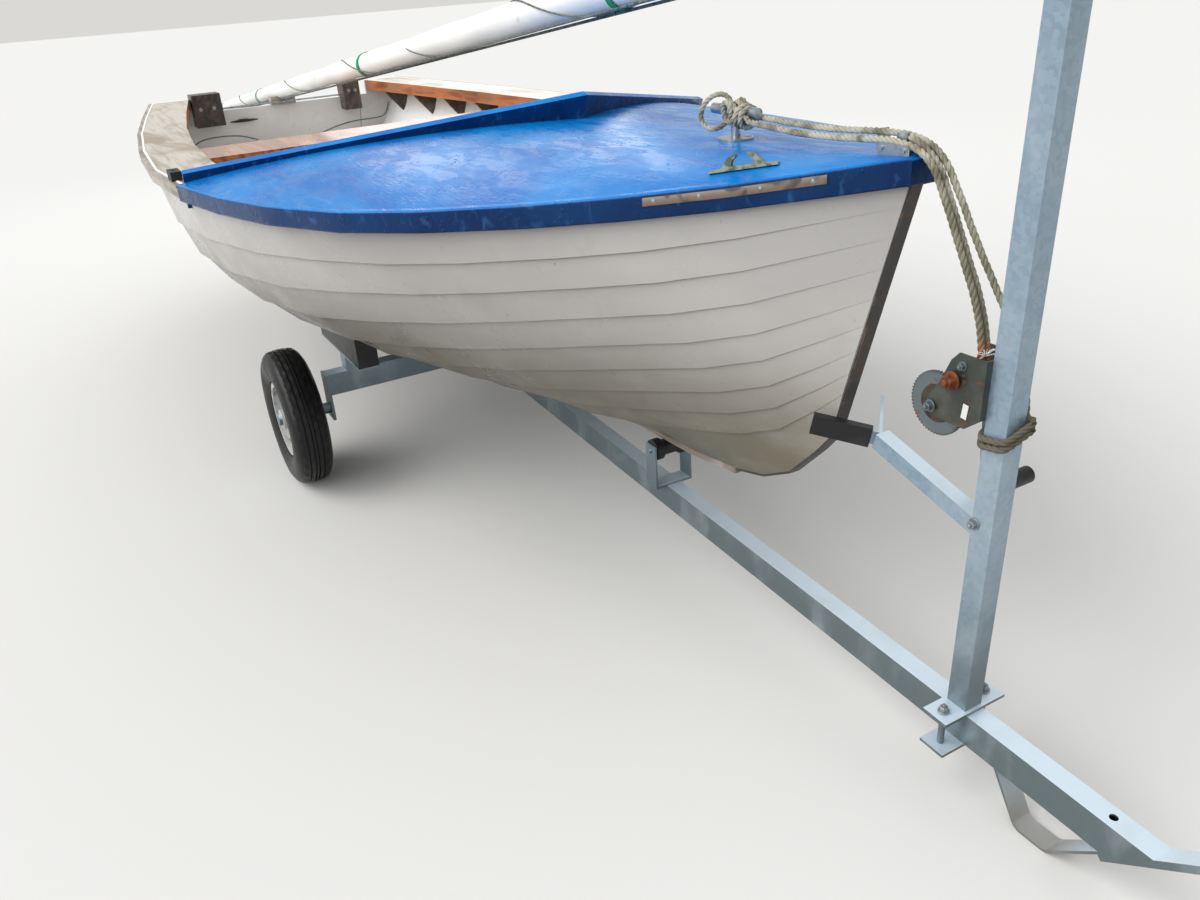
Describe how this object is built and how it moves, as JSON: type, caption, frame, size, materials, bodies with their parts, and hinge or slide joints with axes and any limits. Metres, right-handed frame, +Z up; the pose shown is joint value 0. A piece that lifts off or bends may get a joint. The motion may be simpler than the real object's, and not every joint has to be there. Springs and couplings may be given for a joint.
{
  "type": "sailing dinghy on launching trolley",
  "caption": "Clinker-pattern sailing dinghy with blue foredeck and V coaming, chocked on a two-wheeled launching trolley with hand winch, its mast and furled sail laid over it.",
  "frame": {"origin": "on the ground under the middle of the whole, on the centre line", "axes": "+X forward, towards the bow and the trolley handle, +Y to port, +Z up"},
  "size_m": [6.8434, 1.748, 1.4954],
  "materials": {
    "topsides": "moulded shell, warm grey-white gloss with dirt at stem and keel",
    "deck_blue": "saturated blue gloss paint, wet",
    "varnished_wood": "varnished timber, orange-brown",
    "weathered_wood": "bare weathered timber, grey-brown",
    "dark_wood": "dark stained timber",
    "dark_band": "dark moulded strip",
    "fittings": "dull stainless fittings",
    "bronze": "tarnished grey-green bronze",
    "dark_metal": "dark cast sockets",
    "alloy": "dull alloy tube",
    "sailcloth": "furled white sailcloth",
    "galvanised": "pale blue-grey galvanised steel",
    "rubber_black": "black rubber",
    "winch_paint": "dark grey-green paint over pressed steel, rust at the shaft",
    "winch_steel": "plated steel with rust",
    "tyre": "black tyre",
    "rim_paint": "silver-grey painted rim",
    "rope": "mossy grey-beige laid rope"
  },
  "bodies": {
    "boat_and_trolley": {"hull_shell": "topsides", "foredeck": "deck_blue", "transom": "topsides", "coaming_port": "deck_blue", "coaming_starboard": "deck_blue", "gunwale_port": "deck_blue", "gunwale_starboard": "deck_blue", "quarter_strake_port": "weathered_wood", "quarter_strake_starboard": "weathered_wood", "side_deck_port": "varnished_wood", "side_deck_starboard": "varnished_wood", "stem_band": "dark_band", "keel_bar": "weathered_wood", "thwart": "varnished_wood", "stern_bench": "topsides", "centreboard_case": "topsides", "bottom_boards": "varnished_wood", "board_bearers": "weathered_wood", "side_knees_port": "dark_wood", "side_knees_starboard": "dark_wood", "quarter_blocks": "dark_wood", "rope_horse": "fittings", "deck_cleat": "fittings", "bow_chock_port": "bronze", "bow_chock_starboard": "bronze", "stemhead_fitting": "fittings", "rowlock_sockets": "dark_metal", "rudder_gudgeons": "fittings", "mast": "alloy", "furled_sail": "sailcloth", "stern_rest": "weathered_wood", "drawbar": "galvanised", "nose_handle": "galvanised", "foot_strap": "galvanised", "post_foot": "galvanised", "mast_post": "galvanised", "mast_crutch": "rubber_black", "snubber_arm": "galvanised", "v_chock": "galvanised", "chock_sleeve": "rubber_black", "winch_frame": "winch_paint", "axle_beam": "galvanised", "bunk_pads": "rubber_black", "hull_supports": "galvanised", "keel_rollers": "rubber_black", "roller_brackets": "galvanised", "painter_to_post": "rope", "painter_to_winch": "rope", "painter_second_part": "rope", "post_lashing": "rope", "painter_knot": "rope", "painter_loop": "rope"},
    "wheel_port": {"tyre_port": "tyre", "wheel_rim_port": "rim_paint"},
    "wheel_starboard": {"tyre_starboard": "tyre", "wheel_rim_starboard": "rim_paint"},
    "winch_drum_body": {"winch_drum": "winch_steel"},
    "winch_crank_body": {"winch_crank": "winch_steel", "crank_grip": "rubber_black"}
  },
  "joints": [
    {"name": "wheel_spin_port", "type": "hinge", "parent": "boat_and_trolley", "child": "wheel_port", "pos_m": [0.90673, 0.686, 0.207], "axis": [0, 1, 0], "continuous": true},
    {"name": "wheel_spin_starboard", "type": "hinge", "parent": "boat_and_trolley", "child": "wheel_starboard", "pos_m": [0.90673, -0.686, 0.207], "axis": [0, 1, 0], "continuous": true},
    {"name": "winch_crank_turn", "type": "hinge", "parent": "boat_and_trolley", "child": "winch_crank_body", "pos_m": [2.80073, 0, 0.764], "axis": [0, 1, 0], "continuous": true},
    {"name": "winch_drum_turn", "type": "hinge", "parent": "boat_and_trolley", "child": "winch_drum_body", "pos_m": [2.76073, 0, 0.708], "axis": [0, 1, 0], "continuous": true}
  ],
  "couplings": [
    {"joint": "winch_drum_turn", "follows": "winch_crank_turn", "ratio": -0.32171}
  ]
}
